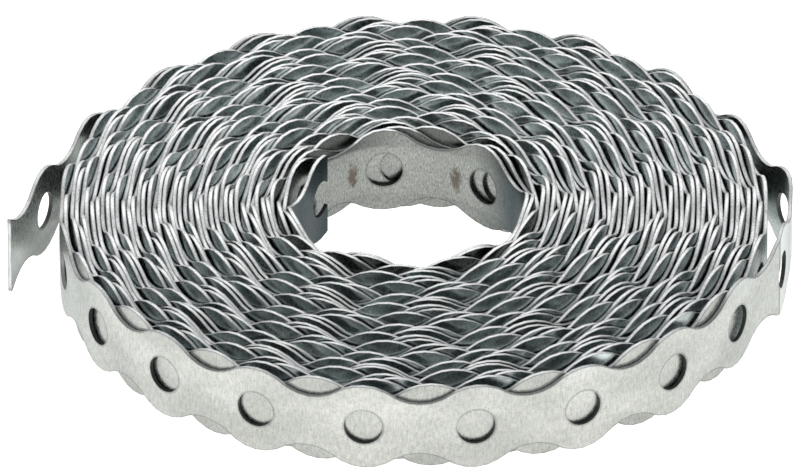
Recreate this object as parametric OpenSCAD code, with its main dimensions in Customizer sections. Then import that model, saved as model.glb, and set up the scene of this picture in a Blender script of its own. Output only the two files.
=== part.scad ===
// A roll of perforated steel mounting strap with waved edges, lying flat with its axis upright.
// One strap: wound from the inner end in the bore, anti-clockwise and outwards, to the free tail.
// Millimetres. The origin is the bore's axis at the floor, and +Z is up.

/* [Nodes] */
// the solids this part is made of
// which solid is drawn

/* [Strap] */
// width over the lobes
strap_w = 17; // [12:0.5:26]
// width at the necks between the lobes
neck_w = 10.4; // [8:0.1:13]
// sheet thickness
strap_t = 0.75; // [0.5:0.05:0.9]
// distance from hole to hole along the strap
hole_pitch = 20.3; // [18:0.1:24]
// diameter of the round holes
hole_d = 7; // [4:0.1:9]

/* [Roll] */
// radius of the bore, to the inner face of the innermost turn
bore_r = 21.3; // [18:0.01:26]
// number of turns
turns = 45; // [30:50]
// radial distance from one turn to the next
turn_pitch = 0.978; // [0.95:0.001:1.2]
// how far the outermost turn's centre lies from the bore's, to the right and to the back
off_centre = [1.7, -1.3]; // [-3:0.1:3]
// depth below the necks of the solid middle that stands for the touching turns
core_relief = 0.7; // [0.3:0.1:2]

/* [Inner end] */
// direction in which the inner end is cut
inner_end_a = 136; // [120:160]
// direction of the strap's first hole, which the cut goes through
inner_hole_a = 143; // [138:0.1:148]
// length over which the innermost turn climbs on to that end
inner_climb_l = 9; // [6:0.1:10]
// how far before a hole that climb starts
inner_lead = 1.2; // [0.8:0.1:3]

/* [Outermost turn] */
// direction of the first hole on its front
first_hole_a = 190.1; // [184:0.1:196]
// length over which it climbs from the turn below, up to the hole before that one
outer_climb_l = 20.3; // [15:0.1:25]
// which hole after the first is the last before the strap springs off the roll
spring_hole = 8; // [7:9]
// how far each flat that springs off turns in from the roll's own direction where it leaves
spring_turn = [3.1, 13.1, 34.1]; // [0:0.1:60]
// how far past a neck the bend between the second and the third of them lies
spring_past = 2; // [1.5:0.1:2.5]
// direction where the tail leaves the roll
tail_a = 142; // [138:0.1:148]
// length of the tail to its first hole, and from its last hole to the cut end
tail_l = [14.9, 16.7]; // [8:0.1:18]
// how far the tail has turned in after its first hole, and after its last
tail_turn = [14.6, 18]; // [0:0.1:40]

/* [Hidden] */
mid_z = strap_w / 2;
lobe_r = strap_w / 2;
neck_r = neck_w / 2;
half_p = hole_pitch / 2;
half_t = strap_t / 2;
// radius of the valley arc that is tangent to both lobes' arcs, and where it meets them
valley_r = (half_p * half_p + neck_r * neck_r - lobe_r * lobe_r) / (2 * (lobe_r - neck_r));
meet_x = half_p * valley_r / (valley_r + lobe_r);
// distances from the neck at which the waved edge is stepped, and the crest's own half width
wave_x = [meet_x / 5, meet_x * 3 / 5, meet_x, meet_x + (half_p - meet_x) / 3];
crest_half = 0.3;
core_h = neck_w - 2 * core_relief;
core_lo = mid_z - core_h / 2;
// steps that keep two faces from lying in one another
clear = 0.1;
step_in = 0.01;
// how far a flat length runs into the arc that it joins
lap = 0.15;
// how far a neck's cutter reaches to each side of the sheet
cut_reach = 3;
last = turns - 1;
$fn = 128;

// radii of turn i, counted outwards from 0, to its inner face and to its middle
function inner_r(i) = bore_r + i * turn_pitch;
function mid_r(i) = inner_r(i) + half_t;
function hole_step(i) = hole_pitch / mid_r(i) * 180 / PI;
function dir(a) = [cos(a), sin(a)];
// centre of turn i
function centre(i) = off_centre * i / last;
// heading that takes a flat of length l from point p out or in to radius r
function heading_to(p, r, l) = atan2(p[1], p[0]) + acos((r * r - p * p - l * l) / (2 * norm(p) * l));

// number of whole hole spaces on the innermost turn, and where it starts its climb
inner_spaces = floor((360 + inner_end_a - inner_hole_a) / hole_step(0)
  - inner_climb_l * 1.1 / hole_pitch);
climb_a = inner_hole_a + (inner_spaces - inner_lead / hole_pitch) * hole_step(0) - 360;

// where the flats that spring off the roll start, bend and end, from the outermost turn's centre
spring_a = first_hole_a + spring_hole * hole_step(last);
spring_l = [hole_pitch, half_p + spring_past, half_p - spring_past];
spring_dir = [for (t = spring_turn) spring_a + 90 + t];
spring_0 = mid_r(last) * dir(spring_a);
spring_1 = spring_0 + spring_l[0] * dir(spring_dir[0]);
spring_2 = spring_1 + spring_l[1] * dir(spring_dir[1]);
spring_3 = spring_2 + spring_l[2] * dir(spring_dir[2]);
back_dir = heading_to(spring_3, mid_r(last), hole_pitch);
spring_4 = spring_3 + hole_pitch * dir(back_dir);
rejoin_a = atan2(spring_4[1], spring_4[0]);

// half height of the strap at x from the middle of a neck
function edge_z(x) = x <= meet_x
  ? neck_r + valley_r - sqrt(valley_r * valley_r - x * x)
  : sqrt(lobe_r * lobe_r - (half_p - x) * (half_p - x));

// An arc from angle a to angle b of a ring: inner radius r, thickness t, height h from z.
module arc(r, a, b, t = strap_t, z = 0, h = strap_w) {
  rotate([0, 0, a]) rotate_extrude(angle = b - a) translate([r, z]) square([t, h]);
}

// What lies outside the waved edge between two crests, seen flat.
module valley_2d() {
  top = [half_p - crest_half, lobe_r + crest_half];
  polygon(concat(
    [[-top[0], top[1]]],
    [for (k = [3:-1:0]) [-wave_x[k], edge_z(wave_x[k])]],
    [for (k = [0:3]) [wave_x[k], edge_z(wave_x[k])]],
    [top]
  ));
}

// The cutter for a neck at p where the strap faces direction a, top and bottom.
module neck_at(p, a) {
  for (s = [0, 1]) translate([p[0], p[1], mid_z]) rotate([0, 0, a]) translate([-cut_reach, 0, 0])
    mirror([0, 0, s]) rotate([90, 0, 90]) linear_extrude(height = 2 * cut_reach) valley_2d();
}

// Cutters for necks of turn i at the listed directions.
module neck_cuts(i, directions) {
  for (a = directions) neck_at(mid_r(i) * dir(a), a);
}

// A hole at p that faces direction a, cut to the given depth behind p.
module hole_at(p, a, depth) {
  translate([p[0], p[1], mid_z]) rotate([0, 90, a]) translate([0, 0, -depth])
    cylinder(d = hole_d, h = depth + cut_reach);
}

module hole_in_turn(i, a) {
  hole_at(mid_r(i) * dir(a), a, half_t + clear);
}

// A flat length of strap starting at p on heading a, with necks at the listed distances.
// Its edges lie the inset inside the full width, and two flats that meet have different insets.
module flat_strap(p, a, l, necks, inset = step_in) {
  translate([p[0], p[1], mid_z]) rotate([90, 0, a]) linear_extrude(height = strap_t, center = true)
    difference() {
      translate([-lap, inset - lobe_r]) square([l + 2 * lap, strap_w - 2 * inset]);
      for (x = necks) translate([x, 0]) { valley_2d(); mirror([0, 1]) valley_2d(); }
    }
}

module tube(r_in, r_out, z, h) {
  translate([0, 0, z]) difference() {
    cylinder(r = r_out, h = h);
    translate([0, 0, -1]) cylinder(r = r_in, h = h + 2);
  }
}

// The turns between the innermost and the second from outside.
module middle_turns() {
  for (i = [1:last - 2]) translate(centre(i)) tube(inner_r(i), inner_r(i) + strap_t, 0, strap_w);
}

// The solid middle, which is lower than the necks, so that every turn stands out of it.
module core() {
  translate([0, 0, core_lo]) difference() {
    translate(centre(last - 1)) cylinder(r = mid_r(last - 1), h = core_h);
    translate([0, 0, -1]) cylinder(r = bore_r + half_t, h = core_h + 2);
    arc(bore_r, climb_a, inner_end_a + 1, turn_pitch + half_t, -1, core_h + 2);
  }
}

// The innermost turn, from its cut end round to where it climbs over that end.
module innermost_turn() {
  from = mid_r(0) * dir(climb_a);
  difference() {
    union() {
      arc(bore_r, inner_end_a, 360 + climb_a);
      flat_strap(from, heading_to(from, mid_r(1), inner_climb_l), inner_climb_l,
        [inner_lead - half_p, inner_lead + half_p]);
    }
    neck_cuts(0, [for (k = [1:inner_spaces]) inner_hole_a + (k - 0.5) * hole_step(0)]);
  }
}

// The turn under the outermost one.
module second_turn() {
  n = round(360 / hole_step(last - 1));
  translate(centre(last - 1)) difference() {
    tube(inner_r(last - 1), inner_r(last - 1) + strap_t, 0, strap_w);
    neck_cuts(last - 1, [for (k = [0:n - 1]) first_hole_a + (k + 0.06) * 360 / n]);
  }
}

// The outermost turn about its own centre: its climb from the one below, its front, the flats
// by which it stands off the roll, bent at their holes, its back, and the tail.
module outermost_turn() {
  step = hole_step(last);
  start_a = first_hole_a - step;
  fall = asin((outer_climb_l * outer_climb_l + pow(mid_r(last), 2) - pow(mid_r(last - 1) + half_t, 2))
    / (2 * mid_r(last) * outer_climb_l));
  climb_dir = start_a + 90 - fall;
  climb_from = mid_r(last) * dir(start_a) - outer_climb_l * dir(climb_dir);
  back_end = tail_a + tail_l[0] / mid_r(last) * 180 / PI;
  back_spaces = round((back_end - rejoin_a) / step);
  back_step = (back_end - rejoin_a) / back_spaces;
  tail_dir = [tail_a + 90, tail_a + 90 + tail_turn[0], tail_a + 90 + tail_turn[1]];
  root = mid_r(last) * dir(tail_a);
  t1 = root + tail_l[0] * dir(tail_dir[0]);
  t2 = t1 + hole_pitch * dir(tail_dir[1]);
  translate(centre(last)) difference() {
    union() {
      flat_strap(climb_from, climb_dir, outer_climb_l, [outer_climb_l - half_p]);
      arc(inner_r(last), start_a, spring_a);
      flat_strap(spring_0, spring_dir[0], spring_l[0], [half_p]);
      flat_strap(spring_1, spring_dir[1], spring_l[1], [half_p], 2 * step_in);
      flat_strap(spring_2, spring_dir[2], spring_l[2], [-spring_past]);
      flat_strap(spring_3, back_dir, hole_pitch, [half_p], 2 * step_in);
      arc(inner_r(last), rejoin_a, tail_a);
      flat_strap(root, tail_dir[0], tail_l[0], []);
      flat_strap(t1, tail_dir[1], hole_pitch, [half_p], 2 * step_in);
      flat_strap(t2, tail_dir[2], tail_l[1], [half_p]);
    }
    neck_cuts(last, [for (k = [0:spring_hole]) first_hole_a + (k - 0.5) * step]);
    neck_cuts(last, [for (k = [0:back_spaces - 2]) rejoin_a + (k + 0.5) * back_step]);
    neck_at(root + (tail_l[0] - half_p) * dir(tail_dir[0]), tail_a);
    for (k = [0:spring_hole]) hole_in_turn(last, first_hole_a + k * step);
    hole_at(spring_1, (spring_dir[0] + spring_dir[1]) / 2 - 90, strap_t);
    hole_at(spring_3, (spring_dir[2] + back_dir) / 2 - 90, strap_t);
    for (k = [0:back_spaces - 1]) hole_in_turn(last, rejoin_a + k * back_step);
    hole_at(t1, (tail_dir[0] + tail_dir[1]) / 2 - 90, strap_t);
    hole_at(t2, (tail_dir[1] + tail_dir[2]) / 2 - 90, strap_t);
  }
}

module strap() {
  color("silver") difference() {
    union() {
      middle_turns();
      core();
      innermost_turn();
      second_turn();
      outermost_turn();
    }
    for (k = [0:inner_spaces]) let (a = inner_hole_a + k * hole_step(0))
      hole_at((bore_r - 2) * dir(a), a, -strap_t);
  }
}

strap();
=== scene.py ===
"""A flat roll of zinc-coated steel mounting strap with waved edges and a row of round holes.

The whole strap is one piece: it is made flat, one lobe after another, and then laid along the
line in which it is wound, from the cut end in the bore out to the free tail.
"""

import logging
from dataclasses import dataclass, field
from enum import IntEnum
from math import acos, atan2, ceil, cos, degrees, floor, pi, radians, sin, sqrt, tau
from typing import Any

import bmesh
import bpy
import numpy as np
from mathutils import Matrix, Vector


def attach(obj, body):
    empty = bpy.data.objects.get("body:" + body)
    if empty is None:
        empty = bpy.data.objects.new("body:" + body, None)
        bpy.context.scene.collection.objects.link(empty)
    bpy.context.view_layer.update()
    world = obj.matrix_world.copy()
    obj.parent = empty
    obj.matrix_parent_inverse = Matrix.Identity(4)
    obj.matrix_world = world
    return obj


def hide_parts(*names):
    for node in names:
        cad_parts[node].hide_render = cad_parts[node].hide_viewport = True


log = logging.getLogger("strap_roll")
logging.basicConfig(level=logging.INFO, format="%(name)s: %(message)s")

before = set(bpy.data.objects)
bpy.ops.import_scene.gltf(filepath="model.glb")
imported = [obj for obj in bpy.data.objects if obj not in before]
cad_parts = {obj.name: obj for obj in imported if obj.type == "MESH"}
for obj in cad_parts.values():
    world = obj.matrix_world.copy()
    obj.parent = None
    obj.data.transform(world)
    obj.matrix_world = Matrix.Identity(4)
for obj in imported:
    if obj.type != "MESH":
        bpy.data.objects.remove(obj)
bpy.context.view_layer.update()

MM = 0.001  # the strap is worked out in millimetres and laid down in metres
PLACE = "strap_place"  # attribute: place on the flat strap, along, across and through, in mm

SIDE_BLEND = 0.1  # half the depth in the sheet over which a finish changes side, in mm

Point = np.ndarray
Pair = tuple[float, float]
Place = tuple[float, float, float]
Colour = tuple[float, float, float, float]


def heading(angle: float) -> Point:
    """The unit vector that points at an angle in degrees, from +X towards +Y."""
    return np.array([cos(radians(angle)), sin(radians(angle))])


def wander(where: Point, spacing: float, seed: int) -> Point:
    """A smooth, seeded, wandering value.

    Args:
        where: Places along a line at which the value is wanted, rising.
        spacing: Distance between the points that the value runs through.
        seed: The number that chooses the run.

    Returns:
        One value for each place, mostly between -1 and 1.
    """
    knots = np.random.default_rng(seed).uniform(-1, 1, int(ceil(np.ptp(where) / spacing)) + 4)
    at = (where - where[0]) / spacing + 1
    whole = np.floor(at).astype(int)
    part = at - whole
    a, b, c, d = (knots[whole + k] for k in (-1, 0, 1, 2))
    curved = 2 * a - 5 * b + 4 * c - d + part * (3 * (b - c) + d - a)
    return b + 0.5 * part * (c - a + part * curved)


@dataclass(frozen=True)
class StrapSection:
    """The strap's section, waves and holes, in millimetres."""

    width: float = 17.0
    neck: float = 10.4
    thickness: float = 0.75
    pitch: float = 20.3
    hole: float = 7.0
    spokes: int = 24  # lines from a hole's rim to its lobe's outline

    @property
    def valley(self) -> float:
        """Radius of the hollows that form the necks between the round lobes."""
        lobe, neck, half = self.width / 2, self.neck / 2, self.pitch / 2
        return (half * half + neck * neck - lobe * lobe) / (2 * (lobe - neck))

    def half_width(self, along: float) -> float:
        """Half of the strap's width at a distance along it from the middle of a hole.

        Args:
            along: The distance, up to half a pitch to either side.

        Returns:
            Half of the width.
        """
        lobe, neck, half, valley = self.width / 2, self.neck / 2, self.pitch / 2, self.valley
        from_neck = half - abs(along)
        if from_neck > half * valley / (valley + lobe):
            return sqrt(lobe * lobe - along * along)
        return neck + valley - sqrt(valley * valley - from_neck * from_neck)

    def rim(self, spoke: int) -> Pair:
        """Where one of the spokes around a hole meets the lobe's outline.

        Args:
            spoke: Number of the spoke, anti-clockwise from the one along the strap.

        Returns:
            The place along the strap from the hole, and across it from the middle.
        """
        half, turned = self.pitch / 2, self.spokes // 2
        if spoke % turned == 0:
            return (half if spoke == 0 else -half), 0.0
        side = 1 if spoke < turned else -1
        to_corner = turned / 2 - 1
        along = half * (turned / 2 - spoke % turned) / to_corner * side
        return along, side * self.half_width(along)


class Seed(IntEnum):
    """The number that chooses each wandering value."""

    LONG_WAVES = 5
    CLOSE_WAVES = 11
    RISE = 23


@dataclass
class Winding:
    """The line along which the strap is wound, seen from above, in millimetres and degrees."""

    section: StrapSection
    bore_radius: float = 21.3
    turn_pitch: float = 0.978
    outer_shift: Pair = (1.7, -1.3)  # outermost turn's centre from the bore's
    cut_at: float = 136.0  # direction of the cut end in the bore
    inner_hole_at: float = 143.0
    first_hole_at: float = 190.1  # direction of the first hole on the front
    spring_hole: int = 8  # number of the hole at which the strap leaves the roll
    spring_headings: tuple[float, ...] = (63.0, 79.4, 86.5, 105.0, 114.5)
    spring_crease: float = 3.0  # how far before a hole the sharp first bend lies
    spring_parts: tuple[float, ...] = (11.7, 9.0)  # straight lengths past that crease
    spring_early: float = 0.4  # how far before its nominal place the hole where it leaves lies
    back_spaces: int = 6  # hole spaces from where it is back on the roll to the tail's first hole
    tail_at: float = 142.0
    tail_headings: tuple[float, ...] = (232.0, 246.6, 250.0)
    tail_lengths: tuple[float, ...] = (14.9, 20.3, 16.7)
    full_turns: int = 44  # turns from the innermost to the outermost
    climb: Pair = (125.0, 190.0)  # directions between which a turn moves outwards
    second_front: tuple[int, float] = (4, -15.56)  # hole count under this front hole, one turn in
    second_inside: Pair = (813.5, 13.0)  # unwound angle and hole count, one turn out
    end_leaves: float = 181.0  # direction from which the inner end is straight
    end_radius: float = 20.4  # radius of its middle at the cut
    over_end: float = 1.4  # how far the next turn is pushed out where it passes over that end
    over_end_past: float = 339.0  # how far past the cut that push is greatest
    over_end_width: float = 32.0
    front_slack: float = 0.3  # how much further out the two outer turns run round the front
    slack_ends: Pair = (-185.0, -20.0)  # where the inner one does so, from the last turn's start
    slack_fades: float = 25.0
    least_gap: float = 0.08
    unevenness: float = 0.11
    waviness: tuple[Pair, ...] = ((1.0, 41.0), (0.7, 150.0))  # its shares and spacings in degrees
    even_ends: Pair = (500.0, 380.0)  # how long the coil's first and last parts are evener
    even_fades: float = 360.0
    least_uneven: float = 0.25
    kink: float = 0.22  # share of a full polygon's bend that the strap takes at its holes
    samples: int = 720
    smoothing: int = 9  # samples over which the line is averaged
    step: float = 0.4  # distance between the line's final samples
    back_eases: float = 9.0  # degrees over which the back settles on the roll
    crease_blend: float = 3.0  # how near the crease the line stays unsmoothed
    outer_holes: int = 6  # holes before the first on the front at which the outermost turn starts
    highest: float = 0.45  # how much higher than its neighbours a part of the strap may stand
    rise_spacing: float = 55.0
    rise_ends: Pair = (300.0, 900.0)  # lengths at the two ends in which it settles on the floor
    line: Point = field(init=False)
    rise: Point = field(init=False)  # how far each of its points is lifted
    travel: Point = field(init=False)  # how far along it each of its points lies
    marks: list[Pair] = field(init=False)  # hole counts, and how far along the line they lie
    crease_at: float = field(init=False)  # place of the sharp crease, along the flat strap
    outer_start: float = field(init=False)  # where the outermost turn begins, along the strap

    @property
    def inner_middle(self) -> float:
        """Radius of the middle of the innermost turn's thickness."""
        return self.bore_radius + self.section.thickness / 2

    @property
    def outer_middle(self) -> float:
        """Radius of the middle of the outermost turn's thickness."""
        return self.inner_middle + self.full_turns * self.turn_pitch

    def level(self, angle: Point) -> Point:
        """How many turns lie inside the strap at each unwound angle.

        Args:
            angle: The unwound angles in degrees.

        Returns:
            The number of turns, with a part of one where the strap climbs.
        """
        low, high = self.climb
        turn = (angle - low) / 360
        whole = np.floor(turn)
        part = np.clip((turn - whole) * 360 / (high - low), 0, 1)
        return np.maximum(whole - 1 + part * part * (3 - 2 * part), 0)

    def target_radius(self, angle: Point) -> Point:
        """The radius that each place along the coil would like to have.

        Args:
            angle: The unwound angles in degrees.

        Returns:
            The radius of the middle of the strap's thickness at each.
        """
        radius = self.inner_middle + self.turn_pitch * self.level(angle)
        past = (angle - self.cut_at - self.over_end_past) / self.over_end_width
        radius += self.over_end * np.exp(-(past**2))
        leaves = self.inner_middle * heading(self.end_leaves)
        along = self.end_radius * heading(self.cut_at) - leaves
        faces = degrees(atan2(-along[0], along[1]))
        off = float(leaves @ heading(faces))
        straight = angle < self.end_leaves
        radius[straight] = off / np.cos(np.radians(angle[straight] - faces))
        starts, stops = (360 * self.full_turns + end for end in self.slack_ends)
        front = np.clip(np.minimum(angle - starts, stops - angle) / self.slack_fades, 0, 1)
        radius += self.front_slack * front
        first, last = self.even_ends
        middle = np.minimum(angle - first, angle[-1] - last - angle) / self.even_fades
        ends = np.clip(middle, self.least_uneven, 1)
        for (share, spacing), seed in zip(self.waviness, (Seed.CLOSE_WAVES, Seed.LONG_WAVES)):
            radius += share * self.unevenness * ends * wander(angle, spacing, seed)
        return radius

    def coil(self) -> tuple[Point, Point, Point, int]:
        """Lays each turn on the one before it, as closely as its own shape lets it.

        Returns:
            The unwound angles, the points, the hole count along them, and the number of whole
            hole spaces from the inner end's hole to the first hole on the front.
        """
        n = self.samples
        end = self.tail_at + 360 * (self.full_turns + 1)
        angle = np.arange(self.cut_at, end + 1e-6, 360 / n)
        out = np.stack([np.cos(np.radians(angle)), np.sin(np.radians(angle))], 1)
        span = self.outer_middle - self.inner_middle
        lean = 1 + out @ np.array(self.outer_shift) / span
        wanted = self.target_radius(angle)
        first_front = self.first_hole_at + 360 * self.full_turns
        count = np.zeros(len(angle))
        spaces = 0
        for attempt in range(3):
            # half of what a polygon's corners at the holes stand out over its sides' middles
            corner = self.section.pitch**2 / 16 / wanted
            kink = self.kink * corner * np.cos(tau * count)
            radius = wanted + (kink if attempt else 0)
            for k in range(n, len(angle), n):
                here = slice(k, min(k + n, len(angle)))
                below = radius[k - n : here.stop - n]
                contact = below + (self.section.thickness + self.least_gap) / lean[here]
                radius[here] = np.maximum(radius[here], contact)
            even = np.ones(self.smoothing) / self.smoothing
            radius = np.convolve(np.pad(radius, self.smoothing // 2, "edge"), even, "valid")
            share = (radius - self.inner_middle) / span
            points = out * radius[:, None] + share[:, None] * np.array(self.outer_shift)
            steps = np.hypot(*np.diff(points, axis=0).T)
            travel = np.concatenate([[0], np.cumsum(steps)])
            first, front = np.interp([self.inner_hole_at, first_front], angle, travel)
            spaces = round((front - first) / self.section.pitch)
            count = (travel - first) / (front - first) * spaces
        return angle, points, count, spaces

    def chain(
        self, start: Point, lengths: tuple[float, ...], ways: tuple[float, ...]
    ) -> list[Point]:
        """The corners of straight lengths laid one after another, without the first corner.

        Args:
            start: The first corner.
            lengths: The lengths.
            ways: Their headings in degrees.

        Returns:
            The corner at the end of each length.
        """
        corners = [start]
        for length, way in zip(lengths, ways):
            corners.append(corners[-1] + length * heading(way))
        return corners[1:]

    def lay(self) -> None:
        """Works out the whole line: the coil, the part sprung off it, its back and the tail."""
        pitch = self.section.pitch
        angle, points, count, spaces = self.coil()
        centre = np.array(self.outer_shift)
        hole_step = degrees(pitch / self.outer_middle)
        leaves = self.first_hole_at + self.spring_hole * hole_step
        before = int(angle.searchsorted(leaves + 360 * self.full_turns))
        early = self.spring_crease
        to_crease = pitch - early - self.spring_early
        parts = self.spring_parts
        lengths = (to_crease, *parts, pitch + early - sum(parts), pitch)
        sprung = self.chain(points[before - 1], lengths, self.spring_headings)
        off = sprung[-1] - centre
        reach = float(np.hypot(*off))
        turned_in = (self.outer_middle**2 - reach**2 - pitch**2) / (2 * reach * pitch)
        closing = degrees(atan2(off[1], off[0]) + acos(turned_in))
        sprung += self.chain(sprung[-1], (pitch,), (closing,))
        rejoin = degrees(atan2(*(sprung[-1] - centre)[::-1]))
        back = slice(int(angle.searchsorted(rejoin + 360 * (self.full_turns + 1))), len(angle))
        ease = np.clip((angle[back] - angle[back.start]) / self.back_eases, 0, 1)[:, None]
        joined = sprung[-1] + (points[back] - points[back.start])
        back_points = joined * (1 - ease) + points[back] * ease
        tail = self.chain(back_points[-1], self.tail_lengths, self.tail_headings)
        raw = np.array([*points[:before], *sprung[:-1], *back_points, *tail])
        steps = np.concatenate([[0], np.cumsum(np.hypot(*np.diff(raw, axis=0).T))])
        inside, inside_count = self.second_inside
        under, under_count = self.second_front
        second = self.first_hole_at + under * hole_step + 360 * (self.full_turns - 1)
        after = spaces + self.spring_hole
        tail_hole = after + 5.0 + self.back_spaces
        self.marks = [
            (float(count[0]), 0.0),
            (0.0, float(np.interp(0.0, count[:before], steps[:before]))),
            (inside_count, float(np.interp(inside, angle[:before], steps[:before]))),
            (spaces + under_count, float(np.interp(second, angle[:before], steps[:before]))),
            (spaces, float(np.interp(spaces, count[:before], steps[:before]))),
            (after, float(steps[before - 1]) - self.spring_early),
            (after + 1.0, float(steps[before] + early)),
            (after + 2.0, float(steps[before + 3])),
            (after + 3.0, float(steps[before + 4])),
            (after + 4.0, float(steps[before + 5])),
            (tail_hole - 1.0, float(steps[-3])),
            (tail_hole, float(steps[-2])),
            (tail_hole + self.tail_lengths[-1] / pitch, float(steps[-1])),
        ]
        self.travel = np.arange(0, steps[-1], self.step)
        fine = np.stack([np.interp(self.travel, steps, raw[:, k]) for k in (0, 1)], 1)
        even = np.ones(self.smoothing) / self.smoothing
        smooth = np.stack([np.convolve(fine[:, k], even, "same") for k in (0, 1)], 1)
        kept = self.smoothing // 2 + 1
        smooth[:kept], smooth[-kept:] = fine[:kept], fine[-kept:]
        from_crease = np.abs(self.travel - steps[before])
        bent = np.clip(from_crease / self.crease_blend, 0, 1)[:, None]
        self.line = fine * (1 - bent) + smooth * bent
        self.crease_at = (after + 1) * pitch - early
        self.outer_start = (spaces - self.outer_holes) * pitch
        lift = 0.5 + 0.5 * wander(self.travel, self.rise_spacing, Seed.RISE)
        first, last = self.rise_ends
        settled = np.minimum(self.travel / first, (steps[-1] - self.travel) / last)
        self.rise = self.highest * lift * np.clip(settled, 0, 1)

    def place(self, along: Point, across: Point, through: Point) -> Point:
        """Lays places on the flat strap along the wound line.

        Args:
            along: Distances along the flat strap from the inner end's hole.
            across: Distances across it from its middle, up the roll.
            through: Distances through it from its middle, out of the roll.

        Returns:
            The points in metres, in the frame of the roll.
        """
        counts, travels = zip(*self.marks)
        travel = np.interp(along / self.section.pitch, counts, travels)
        slope = np.gradient(self.line, axis=0)
        slope /= np.hypot(*slope.T)[:, None]
        x, y, tx, ty, lift = (
            np.interp(travel, self.travel, values)
            for values in (*self.line.T, *slope.T, self.rise)
        )
        high = self.section.width / 2 + across + lift
        return np.stack([x + ty * through, y - tx * through, high], 1) * MM


class Surface(IntEnum):
    """Which finish a face of the strap has."""

    SHEET = 0
    CUT = 1


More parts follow.
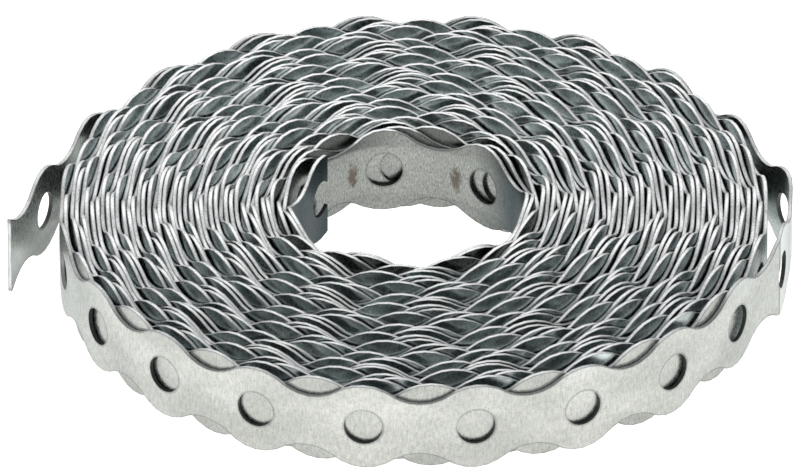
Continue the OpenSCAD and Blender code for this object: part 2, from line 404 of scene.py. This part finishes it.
class NodeSheet:
    """A material's node tree, built up one node at a time."""

    def __init__(self, name: str) -> None:
        """Makes an empty material.

        Args:
            name: The material's name.
        """
        self.material = bpy.data.materials.new(name)
        self.material.use_nodes = True
        self.tree = self.material.node_tree
        self.tree.nodes.clear()

    def add(self, kind: str, inputs: dict[str | int, Any] | None = None, **settings: Any) -> Any:
        """Adds a node.

        Args:
            kind: The node's type, without its ShaderNode start.
            inputs: Values or output sockets, by the name or number of the input.
            settings: The node's own properties.

        Returns:
            The node.
        """
        node = self.tree.nodes.new("ShaderNode" + kind)
        for key, value in settings.items():
            setattr(node, key, value)
        for key, value in (inputs or {}).items():
            if isinstance(value, bpy.types.NodeSocket):
                self.tree.links.new(value, node.inputs[key])
            else:
                node.inputs[key].default_value = value
        return node

    def place(self) -> Any:
        """The socket that gives the place on the flat strap, in millimetres."""
        return self.add("Attribute", attribute_name=PLACE).outputs["Vector"]

    def axes(self, place: Any) -> tuple[Any, Any, Any]:
        """A place's distances along the strap, across it and through it."""
        return tuple(self.add("SeparateXYZ", {0: place}).outputs)

    def length(self, place: Any) -> Any:
        """The length of a vector."""
        return self.add("VectorMath", {0: place}, operation="LENGTH").outputs["Value"]

    def math(self, how: str, first: Any, second: Any = 0.0) -> Any:
        """Works out one value from one or two others."""
        return self.add("Math", {0: first, 1: second}, operation=how).outputs[0]

    def times(self, *values: Any) -> Any:
        """Multiplies two or more values.

        Args:
            values: The numbers or sockets, a socket first.

        Returns:
            The socket of their product.
        """
        product = values[0]
        for value in values[1:]:
            product = self.math("MULTIPLY", product, value)
        return product

    def rest(self, value: Any) -> Any:
        """What is left of 1 when a value is taken away."""
        return self.math("SUBTRACT", 1.0, value)

    def away(self, value: Any, middle: float) -> Any:
        """How far a value is from a middle one, to either side."""
        return self.math("ABSOLUTE", self.math("SUBTRACT", value, middle))

    def span(self, value: Any, low: float, high: float, start: float, end: float) -> Any:
        """Maps a value from one range to another and clamps it there.

        Args:
            value: The socket of the value.
            low: The value that gives the start.
            high: The value that gives the end.
            start: What the result is at low and past it.
            end: What the result is at high and past it.

        Returns:
            The socket of the result.
        """
        made = self.add(
            "MapRange",
            {"Value": value, "From Min": low, "From Max": high, "To Min": start, "To Max": end},
        )
        return made.outputs["Result"]

    def by_side(self, through: Any, inner: float, outer: float) -> Any:
        """One value on the sheet's inner face and another on its outer one."""
        return self.span(through, -SIDE_BLEND, SIDE_BLEND, inner, outer)

    def noise(self, place: Any, stretch: Place, detail: float) -> Any:
        """A noise over the strap.

        Args:
            place: The socket that gives the place on the strap, in millimetres.
            stretch: How many spots there are in a millimetre along, across and through.
            detail: How many finer layers it has.

        Returns:
            The socket of its value, from 0 to 1.
        """
        spread = self.add("VectorMath", {0: place, 1: stretch}, operation="MULTIPLY")
        made = self.add(
            "TexNoise", {"Vector": spread.outputs[0], "Scale": 1.0, "Detail": detail}
        )
        return made.outputs["Fac"]

    def from_hole(self, place: Any, section: StrapSection) -> Any:
        """The distance of each place on the strap from the middle of its hole.

        Args:
            place: The socket that gives the place on the strap.
            section: The strap's section.

        Returns:
            The socket of the distance, in millimetres.
        """
        along, across, _ = self.axes(place)
        along = self.math("PINGPONG", along, section.pitch / 2)
        return self.length(self.add("CombineXYZ", {"X": along, "Y": across}).outputs[0])

    def from_outline(self, place: Any, section: StrapSection) -> Any:
        """The distance of each place on the strap from its waved outline.

        Args:
            place: The socket that gives the place on the strap.
            section: The strap's section.

        Returns:
            The socket of the distance, in millimetres, rising inwards.
        """
        lobe, neck, half = section.width / 2, section.neck / 2, section.pitch / 2
        valley = section.valley
        along, across, _ = self.axes(place)
        from_neck = self.math("SUBTRACT", half, self.math("PINGPONG", along, half))
        from_centre = self.math("SUBTRACT", neck + valley, self.math("ABSOLUTE", across))
        flat = self.add("CombineXYZ", {"X": from_neck, "Y": from_centre}).outputs[0]
        in_neck = self.math("SUBTRACT", self.length(flat), valley)
        in_lobe = self.math("SUBTRACT", lobe, self.from_hole(place, section))
        waist = self.math("LESS_THAN", from_neck, half * valley / (valley + lobe))
        both = self.math("SUBTRACT", in_neck, in_lobe)
        return self.math("ADD", in_lobe, self.times(waist, both))

    def blend(self, share: Any, first: Any, second: Any, how: str = "MIX") -> Any:
        """Mixes two colours by a share.

        Args:
            share: How much of the second colour there is, from 0 to 1.
            first: The first colour, or its socket.
            second: The second colour, or its socket.
            how: The way in which they mix.

        Returns:
            The socket of the mixed colour.
        """
        made = self.add("Mix", data_type="RGBA", blend_type=how)
        sockets = [s for s in made.inputs if s.enabled]
        for socket, value in zip(sockets, (share, first, second)):
            if isinstance(value, bpy.types.NodeSocket):
                self.tree.links.new(value, socket)
            else:
                socket.default_value = value
        return next(s for s in made.outputs if s.enabled)

    def finish(self, shader: Any) -> bpy.types.Material:
        """Joins the shader to the material's output."""
        self.add("OutputMaterial", {"Surface": shader})
        return self.material


@dataclass(frozen=True)
class ZincSheet:
    """The rolled, zinc-coated faces of the strap: soft sheen, fine streaks, small brown marks,
    and painted light and shade.

    Lengths are in millimetres along the flat strap, from the inner end's hole, and a pair of them
    is where a change starts and where it is complete, unless a comment says otherwise.
    """

    section: StrapSection
    length: float  # of the whole strap
    outer_start: float
    crease_at: float
    pale: Colour = (0.59, 0.605, 0.576, 1)
    dull: Colour = (0.42, 0.435, 0.415, 1)
    # colour of the painted shade between the turns and in the bore
    painted_shade_colour: Colour = (0.035, 0.048, 0.054, 1)
    brown: Colour = (0.085, 0.062, 0.045, 1)
    dark: Colour = (0.06, 0.065, 0.07, 1)
    # painted highlight on the outer face just past the crease
    crease_highlight: Colour = (0.95, 0.95, 0.93, 1)
    tint: Colour = (0.7, 0.73, 0.74, 1)
    # where the painted shade between the turns starts and ends, and how far from the middle it
    # reaches
    painted_shade_starts: Pair = (480, 620)
    painted_shade_ends: Pair = (1050, 950)  # from the free end
    painted_shade_across: Pair = (5.5, 2.0)  # from the strap's middle
    bore_ends: Pair = (500, 620)  # where the strap leaves the bore's wall behind
    flap_bends: Pair = (14, 26)  # where the inner end meets the bore's round wall
    wall_darkens: Pair = (62, 80)  # the side of that wall that lies in shade
    wall_clears: Pair = (92, 104)
    flap_brightens: Pair = (12, 20)
    # where the painted shade on those upper lobes starts
    lobes_shaded: Pair = (118, 128)  # upper lobes of the turns that follow the innermost
    lobes_across: Pair = (4.6, 5.4)
    tail_starts: Pair = (90, 60)  # from the free end
    tail_across: Pair = (-6, 6)  # from the strap's middle, upwards
    tail_cools: Pair = (110, 70)  # from the free end
    # where the painted shade on lobes under another turn starts and is complete
    covered_across: Pair = (4.6, 5.2)  # from the strap's middle
    outer_blend: float = 8.0  # length over which the outermost turn starts to differ
    # where the painted shade on the sprung part's inner face rises, is full, falls and is gone
    sprung: tuple[float, float, float, float] = (0, 2, 48, 60)  # from the crease
    brown_holes: tuple[int, ...] = (5, 6)  # holes of the innermost turn with a mark beside them
    brown_mark: Pair = (6.4, -0.3)  # its place from the hole, along and across
    brown_size: Pair = (1.1, 2.6)  # half its length and half its width
    # small dents given painted shade as dark ovals
    dent_shades: tuple[tuple[Pair, Pair], ...] = (
        ((-6.4, 0.3), (0.35, 1.6)),
        ((-11.4, -0.8), (0.4, 1.9)),
    )  # places from the first of those holes, and half sizes

    def inside(self, sheet: NodeSheet, along: Any) -> Any:
        """Where the sheet lies between the turns.

        Args:
            sheet: The finish's node tree.
            along: The socket of the distance along the strap.

        Returns:
            The socket of its value, from 0 to 1.
        """
        start, end = (self.length - from_end for from_end in self.painted_shade_ends)
        return sheet.times(
            sheet.span(along, *self.painted_shade_starts, 0, 1), sheet.span(along, start, end, 1, 0)
        )

    def painted_shade(self, sheet: NodeSheet, place: Any, inside: Any) -> Any:
        """How much painted shade darkens the sheet, between the turns and at the inner end.

        Args:
            sheet: The finish's node tree.
            place: The socket that gives the place on the strap.
            inside: The socket that is 1 where the sheet lies between the turns.

        Returns:
            The socket of its value, from 0 to 1.
        """
        along, across, through = sheet.axes(place)
        # painted shade in the middle band between the turns, where the turns shade each other
        middle = sheet.times(
            sheet.span(sheet.math("ABSOLUTE", across), *self.painted_shade_across, 0, 1),
            sheet.by_side(through, 0.95, 0.88),
        )
        # painted shade on the inner end's flap and on the shaded side of the bore's wall
        flap = sheet.span(along, *self.flap_bends, 0.97, 0.4)
        wall = sheet.span(along, *self.wall_darkens, 0, 0.92)
        start = sheet.times(
            sheet.math("MAXIMUM", flap, wall), sheet.span(along, *self.wall_clears, 1, 0)
        )
        return sheet.math("MAXIMUM", sheet.times(middle, inside), start)

    def mark(self, sheet: NodeSheet, place: Any, at: Pair, size: Pair) -> Any:
        """How strongly one rough-edged oval mark shows.

        Args:
            sheet: The finish's node tree.
            place: The socket that gives the place on the strap.
            at: The mark's middle, along and across the strap.
            size: Half its length along the strap, and half its width across it.

        Returns:
            The socket of its strength, from 0 to 1.
        """
        shift = sheet.add("VectorMath", {0: place, 1: (*at, 0)}, operation="SUBTRACT").outputs[0]
        round_it = (1 / size[0], 1 / size[1], 0)
        near = sheet.add("VectorMath", {0: shift, 1: round_it}, operation="MULTIPLY").outputs[0]
        rough = sheet.times(sheet.noise(place, (1.3, 0.8, 0), 5), 2.2)
        return sheet.span(sheet.math("ADD", sheet.length(near), rough), 2.3, 1.6, 0, 1)

    def bore_shade(self, sheet: NodeSheet, along: Any, across: Any) -> Any:
        """Painted shade on the innermost turns in the bore and on the upper lobes of the turns
        after them.

        Args:
            sheet: The finish's node tree.
            along: The socket of the distance along the strap.
            across: The socket of the distance across the strap.

        Returns:
            The socket of the share of brightness that the painted shade leaves.
        """
        # painted shade on the upper lobes of the turns after the innermost
        lobes = sheet.times(
            sheet.span(across, *self.lobes_across, 0, 0.5),
            sheet.span(along, *self.lobes_shaded, 0, 1),
            sheet.span(along, *self.painted_shade_starts[::-1], 0, 1),
        )
        # painted shade on the innermost turns, strongest at the inner end
        return sheet.times(
            sheet.span(along, *self.bore_ends, 0.7, 1),
            sheet.span(along, *self.flap_brightens, 0.5, 1),
            sheet.rest(lobes),
        )

    def tail_shade(self, sheet: NodeSheet, place: Any) -> Any:
        """Painted shade on the tail's inner face, darkest at its lower edge.

        Args:
            sheet: The finish's node tree.
            place: The socket that gives the place on the strap.

        Returns:
            The socket of the share of brightness that the painted shade leaves.
        """
        along, across, through = sheet.axes(place)
        start, end = (self.length - from_end for from_end in self.tail_starts)
        # painted shade on the tail's inner face, darker towards its lower edge
        reach = sheet.times(sheet.span(along, start, end, 0, 1), sheet.by_side(through, 1, 0))
        low = sheet.span(across, *self.tail_across, 0.3, 0.95)
        return sheet.add("Mix", {0: reach, 2: 1.0, 3: low}).outputs[0]

    def under_shade(self, sheet: NodeSheet, place: Any) -> Any:
        """Painted shade on the lobes under another turn and on the sprung part's inner face.

        Args:
            sheet: The finish's node tree.
            place: The socket that gives the place on the strap.

        Returns:
            The socket of the share of brightness that the painted shade leaves.
        """
        along, across, through = sheet.axes(place)
        # painted shade on the lobes that lie under another turn
        covered = sheet.span(sheet.math("ABSOLUTE", across), *self.covered_across, 0.97, 0.84)
        start = self.outer_start - self.outer_blend
        outer = sheet.span(along, start, self.outer_start, 0, 1)
        rises, full, falls, gone = (self.crease_at + past for past in self.sprung)
        # painted shade on the inner face of the part sprung off the roll
        sprung = sheet.times(
            sheet.span(along, rises, full, 0, 0.4),
            sheet.span(along, falls, gone, 1, 0),
            sheet.by_side(through, 1, 0),
        )
        return sheet.times(sheet.math("MAXIMUM", covered, outer), sheet.rest(sprung))

    def brightness(self, sheet: NodeSheet, place: Any) -> Any:
        """The painted shade along the strap, with the fine grain near the bore.

        Args:
            sheet: The finish's node tree.
            place: The socket that gives the place on the strap.

        Returns:
            The socket of the factor that the painted shade and the grain give the brightness.
        """
        along, across, _ = sheet.axes(place)
        fine = sheet.span(sheet.noise(place, (4.5, 1.5, 0), 4), 0.36, 0.62, 0.7, 1.12)
        near = sheet.span(along, *self.bore_ends, 1, 0)
        grain = sheet.times(sheet.math("SUBTRACT", fine, 1.0), near)
        return sheet.times(
            self.bore_shade(sheet, along, across),
            self.tail_shade(sheet, place),
            self.under_shade(sheet, place),
            sheet.math("ADD", grain, 1.0),
        )

    def shade(self, sheet: NodeSheet, place: Any, inside: Any) -> Any:
        """Random cloudy tone with painted light and shade on the zinc, cooler between the turns.

        Args:
            sheet: The finish's node tree.
            place: The socket that gives the place on the strap.
            inside: The socket that is 1 where the sheet lies between the turns.

        Returns:
            The socket of the colour by which the zinc's own colour is multiplied.
        """
        along, _, through = sheet.axes(place)
        clouds = sheet.noise(place, (0.07, 0.12, 0), 2)
        # painted shade at each hole's rim and along the lobes' outline, for rounded edges and the
        # gaps beside them
        rim = sheet.span(sheet.from_hole(place, self.section), 3.95, 3.6, 1, 0.62)
        outline = sheet.span(sheet.from_outline(place, self.section), 0.08, 0.26, 0.62, 1)
        start, end = (self.length - from_end for from_end in self.painted_shade_ends)
        outer = sheet.span(along, start, end, 0, 1)
        inner_side = sheet.by_side(through, 1, 0)
        cool = sheet.math("MAXIMUM", inside, sheet.times(outer, inner_side))
        # painted light: between the turns the inner face is made much paler, the outer face a
        # little
        lift = sheet.times(sheet.by_side(through, 0.85, 0.08), cool)
        # painted light: soft lighter and darker patches on the faces between the turns
        light_patches = sheet.span(sheet.noise(place, (0.19, 0.36, 1.6), 1), 0.36, 0.64, -0.3, 0.3)
        # random tone times the painted shade and painted light set up above
        tone_light_and_shade = sheet.times(
            sheet.span(clouds, 0.35, 0.7, 0.84, 1.06),
            rim,
            sheet.math("MAXIMUM", outline, sheet.times(inside, 0.9)),
            self.brightness(sheet, place),
            sheet.math("ADD", 1.0, lift),
            sheet.math("ADD", 1.0, sheet.times(light_patches, inside)),
        )
        start, end = (self.length - from_end for from_end in self.tail_cools)
        cool = sheet.times(cool, sheet.span(along, start, end, 1, 0.3))
        warm = sheet.span(along, *self.bore_ends, 0.975, 1)
        red = sheet.times(tone_light_and_shade, sheet.span(cool, 0, 1, 1, 0.925), warm)
        blue = sheet.times(tone_light_and_shade, sheet.span(cool, 0, 1, 1, 1.05))
        return sheet.add("CombineColor", {0: red, 1: tone_light_and_shade, 2: blue}).outputs[0]

    def brown_marked(self, sheet: NodeSheet, place: Any, colour: Any) -> Any:
        """Adds the brown marks, and the painted shade of the small dents, on the innermost turn
        to a colour.

        Args:
            sheet: The finish's node tree.
            place: The socket that gives the place on the strap.
            colour: The socket of the colour.

        Returns:
            The socket of the marked colour.
        """
        pitch = self.section.pitch
        # brown marks beside the innermost turn's holes
        for hole in self.brown_holes:
            at = (hole * pitch + self.brown_mark[0], self.brown_mark[1])
            brown_patch = self.mark(sheet, place, at, self.brown_size)
            colour = sheet.blend(sheet.times(brown_patch, 0.8), colour, self.brown)
        # painted shade of the small dents
        for (along, across), size in self.dent_shades:
            at = (self.brown_holes[0] * pitch + along, across)
            dent_shade = self.mark(sheet, place, at, size)
            colour = sheet.blend(sheet.times(dent_shade, 0.8), colour, self.dark)
        return colour

    def creased(self, sheet: NodeSheet, place: Any, colour: Any) -> Any:
        """Adds a painted highlight on the outer face past the sharp crease, and its painted dark
        line, to a colour.

        Args:
            sheet: The finish's node tree.
            place: The socket that gives the place on the strap.
            colour: The socket of the colour.

        Returns:
            The socket of the marked colour.
        """
        along, _, through = sheet.axes(place)
        # painted highlight on the outer face past the crease
        bend = sheet.times(
            sheet.span(along, self.crease_at, self.crease_at + 0.4, 0, 0.45),
            sheet.span(along, self.crease_at + 3, self.crease_at + 11, 1, 0),
            sheet.by_side(through, 0, 1),
        )
        colour = sheet.blend(bend, colour, self.crease_highlight)
        # painted shade along the crease itself
        from_crease = sheet.away(along, self.crease_at - 0.1)
        return sheet.blend(sheet.span(from_crease, 0.12, 0.4, 0.6, 0), colour, self.dark)

    def material(self) -> bpy.types.Material:
        """Builds the finish.

        Returns:
            The material.
        """
        sheet = NodeSheet("zinc_sheet")
        place = sheet.place()
        streaks = sheet.noise(place, (3.2, 0.55, 0), 3)
        spangle = sheet.noise(place, (1.3, 0.9, 0), 4)
        both = sheet.math("ADD", streaks, spangle)
        inside = self.inside(sheet, sheet.axes(place)[0])
        grain = sheet.span(both, 0.75, 1.3, 0, 1)
        grain = sheet.math("MAXIMUM", grain, sheet.times(inside, 0.6))
        colour = sheet.blend(grain, self.dull, self.pale)
        colour = sheet.blend(1.0, colour, self.shade(sheet, place, inside), "MULTIPLY")
        colour = sheet.blend(self.painted_shade(sheet, place, inside), colour, self.painted_shade_colour)
        specks = sheet.span(sheet.noise(place, (3.8, 2.9, 0), 1), 0.62, 0.72, 0, 0.5)
        colour = sheet.blend(sheet.times(specks, sheet.rest(inside)), colour, self.dark)
        colour = self.brown_marked(sheet, place, colour)
        colour = self.creased(sheet, place, colour)
        bump = sheet.add("Bump", {"Strength": 0.07, "Distance": 0.00005, "Height": both})
        shader = sheet.add(
            "BsdfPrincipled",
            {
                "Base Color": colour,
                "Metallic": 1.0,
                "Specular Tint": self.tint,
                "Roughness": sheet.span(spangle, 0.3, 0.7, 0.22, 0.34),
                "Normal": bump.outputs[0],
            },
        )
        return sheet.finish(shader.outputs[0])


@dataclass(frozen=True)
class CutEdge:
    """The sheared edges and the holes' walls: edges brighter than the faces, with a painted
    highlight in their middle and painted shade on their sides; walls dark with painted shade.
    """

    section: StrapSection
    outer_start: float
    length: float  # of the whole strap
    bright: Colour = (1.0, 1.0, 1.0, 1)
    # painted shade on the rounded sides of the cut edges
    edge_side_shade: Colour = (0.22, 0.235, 0.24, 1)
    # painted shade on the walls of the holes
    hole_wall_shade: Colour = (0.07, 0.075, 0.075, 1)
    outer_blend: float = 8.0  # length over which the painted shade on the outermost turn's edge starts
    front: Pair = (-0.014, -0.034)  # how far forward the painted shade on the roll's edges grows, in metres
    lit_hole: int = 6  # hole of the outermost turn whose wall gets less painted shade, standing in for the light it catches
    cut_end: float = 8.0  # length at the free end whose cut is an edge and not a hole's wall

    def material(self) -> bpy.types.Material:
        """Builds the finish.

        Returns:
            The material.
        """
        sheet = NodeSheet("cut_edge")
        place = sheet.place()
        along, _, through = sheet.axes(place)
        _, forward, _ = sheet.axes(sheet.add("TexCoord").outputs["Object"])
        marks = sheet.noise(place, (2.4, 0.4, 5.0), 4)
        start = self.outer_start - self.outer_blend
        # painted highlight along the middle of each cut edge, painted shade on its sides
        share = sheet.times(
            sheet.span(sheet.math("ABSOLUTE", through), 0.38, 0.16, 0, 1),
            sheet.span(marks, 0.38, 0.55, 0.62, 1),
            # painted shade on the outermost turn's edges and, by place, on the edges at the
            # roll's front
            sheet.span(along, start, self.outer_start, 1, 0.65),
            sheet.span(forward, *self.front, 1, 0.72),
        )
        colour = sheet.blend(share, self.edge_side_shade, self.bright)
        first = self.outer_start + self.lit_hole * self.section.pitch
        # painted shade on the hole walls, less on the one hole that catches light
        in_hole = sheet.times(
            sheet.span(sheet.from_hole(place, self.section), 3.9, 3.6, 0, 1),
            sheet.math("LESS_THAN", along, self.length - self.cut_end),
            sheet.span(sheet.away(along, first), 5, 6, 0.25, 1),
        )
        colour = sheet.blend(in_hole, colour, self.hole_wall_shade)
        shader = sheet.add(
            "BsdfPrincipled", {"Base Color": colour, "Metallic": 0.75, "Roughness": 0.45}
        )
        return sheet.finish(shader.outputs[0])


@dataclass
class StrapRoll:
    """The strap itself, from the cut end in the bore to the free tail."""

    section: StrapSection
    winding: Winding
    fine_inside: int = 16  # lobes from the inner end that have finer faces
    fine_outside: int = 22  # lobes up to the tail that have finer faces

    def flat_lobe(self, shape: bmesh.types.BMesh) -> None:
        """Makes one flat lobe around its hole, from neck to neck.

        Args:
            shape: The empty mesh in which the lobe is made.
        """
        spokes = self.section.spokes
        spoke_mark = shape.edges.layers.int.new("spoke")
        hole = bmesh.ops.create_circle(
            shape, cap_ends=False, segments=spokes, radius=self.section.hole / 2
        )["verts"]
        grown = bmesh.ops.extrude_edge_only(shape, edges=shape.edges[:])["geom"]
        for vert in (v for v in grown if isinstance(v, bmesh.types.BMVert)):
            spoke = round(atan2(vert.co.y, vert.co.x) / tau * spokes) % spokes
            vert.co = (*self.section.rim(spoke), 0)
        inner = set(hole)
        for edge in shape.edges:
            edge[spoke_mark] = len(inner.intersection(edge.verts)) == 1

    def flat_strap(self) -> bmesh.types.BMesh:
        """Makes the whole strap flat, with its thickness, its cut ends and its holes.

        Returns:
            The strap's mesh, in millimetres along X and across Y.
        """
        pitch = self.section.pitch
        start, end = self.winding.marks[0][0], self.winding.marks[-1][0]
        lobes = int(floor(end + 0.5)) + 1
        shape = bmesh.new()
        self.flat_lobe(shape)
        bmesh.ops.spin(
            shape,
            geom=shape.verts[:] + shape.edges[:] + shape.faces[:],
            cent=(0, 0, 0),
            axis=(0, 0, 1),
            dvec=(pitch, 0, 0),
            angle=0,
            steps=lobes - 1,
            use_duplicate=True,
        )
        bmesh.ops.remove_doubles(shape, verts=shape.verts, dist=0.01)
        spoke_mark = shape.edges.layers.int["spoke"]
        first, last = self.fine_inside - 0.5, lobes - self.fine_outside - 0.5
        finer = []
        for edge in shape.edges:
            along = sum(vert.co.x for vert in edge.verts) / 2
            if edge[spoke_mark] and not first * pitch < along < last * pitch:
                finer.append(edge)
        bmesh.ops.subdivide_edges(shape, edges=finer, cuts=2, use_grid_fill=True)
        crease = self.winding.crease_at / pitch
        for at, way, cut_off in ((start, -1, True), (end, 1, True), (crease, 1, False)):
            bmesh.ops.bisect_plane(
                shape,
                geom=shape.verts[:] + shape.edges[:] + shape.faces[:],
                plane_co=(at * pitch, 0, 0),
                plane_no=(way, 0, 0),
                clear_outer=cut_off,
                dist=1e-4,
            )
        bmesh.ops.solidify(shape, geom=shape.faces[:], thickness=self.section.thickness)
        bmesh.ops.recalc_face_normals(shape, faces=shape.faces)
        return shape

    def build(self) -> bpy.types.Object:
        """Makes the strap, winds it up and dresses it.

        Returns:
            The strap's object.
        """
        shape = self.flat_strap()
        for face in shape.faces:
            face.smooth = True
            face.material_index = Surface.SHEET if abs(face.normal.z) > 0.7 else Surface.CUT
        crease = self.winding.crease_at
        for edge in shape.edges:
            creased = all(abs(vert.co.x - crease) < 0.01 for vert in edge.verts)
            finishes = {face.material_index for face in edge.link_faces}
            edge.smooth = len(finishes) == 1 and not creased
        open_edges = sum(len(edge.link_faces) != 2 for edge in shape.edges)
        mesh = bpy.data.meshes.new("strap_piece")
        shape.to_mesh(mesh)
        shape.free()
        flat = np.empty(len(mesh.vertices) * 3, np.float32)
        mesh.vertices.foreach_get("co", flat)
        flat = flat.reshape(-1, 3).astype(float)
        flat[:, 2] -= (flat[:, 2].min() + flat[:, 2].max()) / 2
        wound = self.winding.place(*flat.T)
        mesh.vertices.foreach_set("co", wound.astype(np.float32).ravel())
        place = mesh.attributes.new(PLACE, "FLOAT_VECTOR", "POINT")
        place.data.foreach_set("vector", flat.astype(np.float32).ravel())
        length = self.winding.marks[-1][0] * self.section.pitch
        outer_start = self.winding.outer_start
        mesh.materials.append(ZincSheet(self.section, length, outer_start, crease).material())
        mesh.materials.append(CutEdge(self.section, outer_start, length).material())
        mesh.update()
        strap = bpy.data.objects.new("strap_piece", mesh)
        bpy.context.scene.collection.objects.link(strap)
        triangles = sum(len(p.vertices) - 2 for p in mesh.polygons)
        log.info("strap: %d triangles, %d open edges", triangles, open_edges)
        return strap


@dataclass
class Studio:
    """A plain pale floor, soft light from above and in front, and the camera."""

    aim: Place = (-0.00128, -0.0013, 0.00872)
    elevation: float = 31.82
    distance: float = 3.0
    seen_width: float = 0.14583  # width of the view where the camera aims
    sensor: float = 36.0
    floor_reach: float = 3.0
    floor_glow: float = 0.95  # what the floor adds for the camera and in reflections
    ambient: float = 0.62
    lamps: tuple[tuple[str, Place, float, float], ...] = (
        ("lamp_front", (0.35, -1.1, 1.0), 0.9, 1.0),
        ("lamp_back", (-0.2, 0.9, 1.0), 1.2, 4.5),
    )  # names, places, sizes and powers

    def floor(self) -> None:
        """Lays the floor that shows as white and keeps the roll's soft shadow."""
        shape = bmesh.new()
        bmesh.ops.create_grid(shape, x_segments=1, y_segments=1, size=self.floor_reach)
        mesh = bpy.data.meshes.new("floor")
        shape.to_mesh(mesh)
        shape.free()
        plane = bpy.data.objects.new("floor", mesh)
        bpy.context.scene.collection.objects.link(plane)
        sheet = NodeSheet("floor_white")
        rays = sheet.add("LightPath").outputs
        seen = sheet.math("MAXIMUM", rays["Is Camera Ray"], rays["Is Glossy Ray"])
        seen = sheet.times(seen, self.floor_glow)
        plain = sheet.add("BsdfDiffuse", {"Color": (0.86, 0.86, 0.86, 1)})
        glow = sheet.add("Emission", {"Color": (1, 0.985, 0.955, 1), "Strength": seen})
        both = sheet.add("AddShader", {0: plain.outputs[0], 1: glow.outputs[0]})
        mesh.materials.append(sheet.finish(both.outputs[0]))

    def lamp(self, name: str, place: Place, size: float, power: float) -> None:
        """Hangs a square soft lamp that faces the roll.

        Args:
            name: The lamp's name.
            place: Where it hangs, in metres.
            size: The length of its sides, in metres.
            power: Its power in watts.
        """
        light = bpy.data.lights.new(name, "AREA")
        light.size = size
        light.energy = power
        lamp = bpy.data.objects.new(name, light)
        lamp.location = place
        facing = Vector(self.aim) - Vector(place)
        lamp.rotation_euler = facing.to_track_quat("-Z", "Y").to_euler()
        bpy.context.scene.collection.objects.link(lamp)

    def light(self) -> None:
        """Sets the even light all round and two soft lamps."""
        world = bpy.data.worlds.new("studio_white")
        world.use_nodes = True
        background = world.node_tree.nodes["Background"].inputs
        background["Color"].default_value = (1, 1, 1, 1)
        background["Strength"].default_value = self.ambient
        bpy.context.scene.world = world
        for name, place, size, power in self.lamps:
            self.lamp(name, place, size, power)

    def camera(self) -> None:
        """Sets up the long-lens camera in front of the roll."""
        lens = bpy.data.cameras.new("camera")
        lens.sensor_width = self.sensor
        lens.lens = self.sensor * self.distance / self.seen_width
        lens.clip_end = 20
        camera = bpy.data.objects.new("camera", lens)
        tilt = radians(self.elevation)
        camera.location = Vector(self.aim) + self.distance * Vector((0, -cos(tilt), sin(tilt)))
        camera.rotation_euler = (pi / 2 - tilt, 0, 0)
        bpy.context.scene.collection.objects.link(camera)
        bpy.context.scene.camera = camera

    def build(self) -> None:
        """Sets up the whole studio."""
        self.floor()
        self.light()
        self.camera()
        bpy.context.scene.view_settings.view_transform = "Standard"


def main() -> None:
    """Builds the roll and the studio."""
    section = StrapSection()
    winding = Winding(section)
    winding.lay()
    log.info("strap wound: %.2f m", winding.travel[-1] * MM)
    strap = StrapRoll(section, winding).build()
    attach(strap, "root")
    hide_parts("strap")
    Studio().build()


if __name__ == "__main__":
    main()
